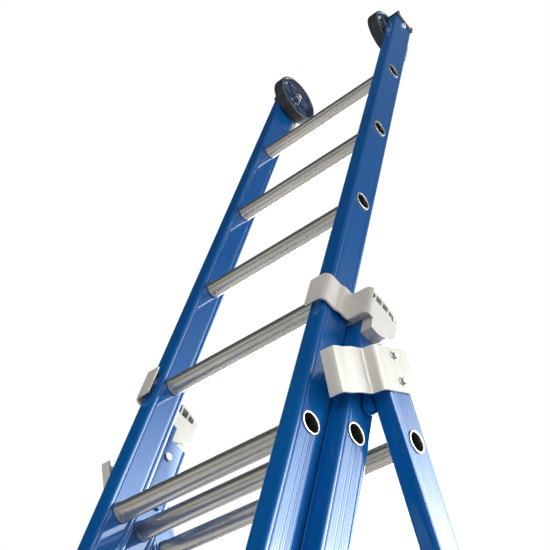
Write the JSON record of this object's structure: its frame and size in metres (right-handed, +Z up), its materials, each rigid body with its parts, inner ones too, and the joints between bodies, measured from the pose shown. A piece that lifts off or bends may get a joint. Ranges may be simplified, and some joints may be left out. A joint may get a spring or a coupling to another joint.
{
  "type": "combination ladder",
  "caption": "Aluminium combination ladder of nested sections standing as an A-frame, with the top section raised, blue coated stiles, round rungs, extruded guide brackets and wall wheels.",
  "frame": {"origin": "on the floor, at the middle of the bounding box of the ladder as it stands", "axes": "+X along the rungs, -Y the climbing side of the front stiles, +Y the folding rear section, +Z up"},
  "size_m": [0.5288, 1.4476, 3.2039],
  "materials": {
    "blue_coat": "gloss",
    "rung_aluminium": "brushed",
    "bracket_aluminium": "brushed",
    "zinc_steel": "satin",
    "black_plastic": "satin",
    "grey_plastic": "satin",
    "rubber": "matte"
  },
  "bodies": {
    "middle_section": {"mid_stile_R": "blue_coat", "mid_stile_L": "blue_coat", "mid_rung_1": "rung_aluminium", "mid_rung_2": "rung_aluminium", "mid_rung_3": "rung_aluminium", "mid_rung_4": "rung_aluminium", "mid_rung_5": "rung_aluminium", "mid_rung_6": "rung_aluminium", "mid_rung_7": "rung_aluminium", "hinge_head_R": "bracket_aluminium", "hinge_pin_R": "blue_coat", "guide_bracket_R": "bracket_aluminium", "mid_foot_R": "rubber", "hinge_head_L": "bracket_aluminium", "hinge_pin_L": "blue_coat", "guide_bracket_L": "bracket_aluminium", "mid_foot_L": "rubber"},
    "top_section": {"top_stile_R": "blue_coat", "top_stile_L": "blue_coat", "top_rung_1": "rung_aluminium", "top_rung_2": "rung_aluminium", "top_rung_3": "rung_aluminium", "top_rung_4": "rung_aluminium", "top_rung_5": "rung_aluminium", "top_rung_6": "rung_aluminium", "top_rung_7": "rung_aluminium", "axle_R": "zinc_steel", "top_cap_R": "black_plastic", "top_shoe_R": "black_plastic", "top_buffer_R": "grey_plastic", "axle_L": "zinc_steel", "top_cap_L": "black_plastic", "top_shoe_L": "black_plastic", "top_buffer_L": "grey_plastic"},
    "rear_section": {"rear_stile_R": "blue_coat", "rear_stile_L": "blue_coat", "rear_rung_1": "rung_aluminium", "rear_rung_2": "rung_aluminium", "rear_rung_3": "rung_aluminium", "rear_rung_4": "rung_aluminium", "rear_rung_5": "rung_aluminium", "rear_rung_6": "rung_aluminium", "rear_rung_7": "rung_aluminium", "rear_bracket_R": "bracket_aluminium", "hinge_plate_R": "blue_coat", "rear_bolt_R1": "zinc_steel", "rear_bolt_R2": "zinc_steel", "rear_foot_R": "rubber", "rear_bracket_L": "bracket_aluminium", "hinge_plate_L": "blue_coat", "rear_bolt_L1": "zinc_steel", "rear_bolt_L2": "zinc_steel", "rear_foot_L": "rubber"},
    "wheel_right": {"wheel_hub_R": "black_plastic", "tyre_R": "rubber"},
    "wheel_left": {"wheel_hub_L": "black_plastic", "tyre_L": "rubber"},
    "lock_right": {"rung_lock_R": "zinc_steel"},
    "lock_left": {"rung_lock_L": "zinc_steel"}
  },
  "joints": [
    {"name": "rear_fold", "type": "hinge", "parent": "middle_section", "child": "rear_section", "pos_m": [0, -0.0168, 1.8829], "axis": [-1, 0, 0], "range_deg": [0, 38.8]},
    {"name": "top_slide", "type": "slide", "parent": "middle_section", "child": "top_section", "axis": [0, 0.3322, 0.9432], "range_m": [-1.12, 0.28]},
    {"name": "wheel_right_spin", "type": "hinge", "parent": "top_section", "child": "wheel_right", "pos_m": [0.14825, 0.35129, 3.14011], "axis": [1, 0, 0], "continuous": true},
    {"name": "wheel_left_spin", "type": "hinge", "parent": "top_section", "child": "wheel_left", "pos_m": [-0.14825, 0.35129, 3.14011], "axis": [1, 0, 0], "continuous": true},
    {"name": "lock_right_swing", "type": "hinge", "parent": "top_section", "child": "lock_right", "pos_m": [0.157, -0.29642, 1.30083], "axis": [1, 0, 0], "range_deg": [-70, 0]},
    {"name": "lock_left_swing", "type": "hinge", "parent": "top_section", "child": "lock_left", "pos_m": [-0.157, -0.29642, 1.30083], "axis": [1, 0, 0], "range_deg": [-70, 0]}
  ]
}
